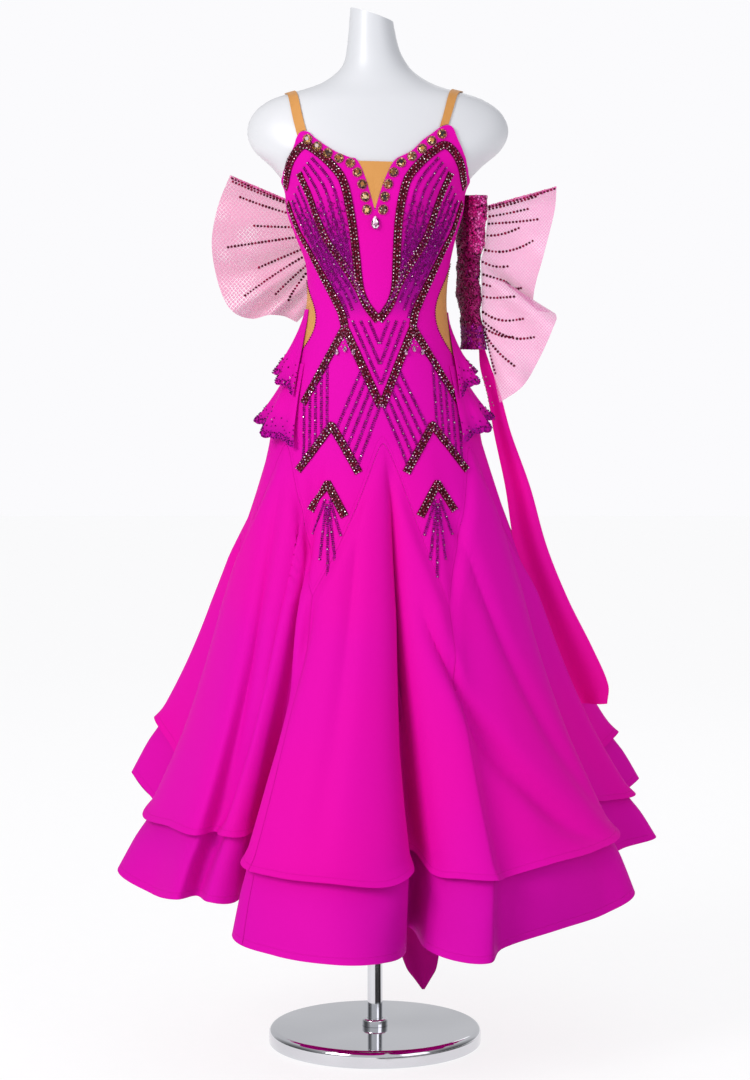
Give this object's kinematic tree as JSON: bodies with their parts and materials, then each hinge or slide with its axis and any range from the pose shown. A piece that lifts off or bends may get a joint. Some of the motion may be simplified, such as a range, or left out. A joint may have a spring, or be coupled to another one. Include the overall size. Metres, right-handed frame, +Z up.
{
  "type": "ballroom dance dress on a dress form",
  "caption": "Full length ballroom gown with a beaded bodice, a flared godet skirt, hip flounces and net arm wings, shown on a headless display form with a round foot.",
  "frame": {"origin": "centre of the foot plate's underside, on the floor", "axes": "+Z up along the pole, -Y to the front of the dress, +X to the right of the dress seen from the front"},
  "size_m": [0.888, 0.8621, 1.687],
  "materials": {
    "chrome": "polished",
    "form_gloss": "white gloss lacquer over fibreglass",
    "beaded": "crepe worked with bead rows",
    "crepe": "heavy matte crepe",
    "tan_mesh": "skin-tone stretch mesh and elastic",
    "stones": "polished sew-on stones",
    "sequin": "mesh covered with sequins",
    "net": "stiff net with bead rows"
  },
  "bodies": {
    "root": {"stand_base": "chrome", "stand_pole": "chrome", "stand_collar": "chrome", "form_flange": "chrome", "dress_form": "form_gloss", "bodice_front": "beaded", "bodice_back": "crepe", "neck_insert": "tan_mesh", "side_mesh_left": "tan_mesh", "side_mesh_right": "tan_mesh", "strap_left": "tan_mesh", "strap_right": "tan_mesh", "neck_stones_left": "stones", "neck_stones_right": "stones", "centre_drop": "stones", "peplum_left_upper": "crepe", "peplum_left_lower": "crepe", "peplum_right_upper": "crepe", "peplum_right_lower": "crepe", "godet_front": "crepe", "godet_front_right": "crepe", "godet_back_right": "crepe", "godet_back": "crepe", "godet_back_left": "crepe", "godet_front_left": "crepe", "band_front": "crepe", "band_front_right": "crepe", "band_back_right": "crepe", "band_back": "crepe", "band_back_left": "crepe", "band_front_left": "crepe", "tail_panel": "crepe", "float_right": "crepe", "armband_left": "sequin", "armband_right": "sequin", "wing_left": "net", "wing_right": "net"}
  },
  "joints": []
}
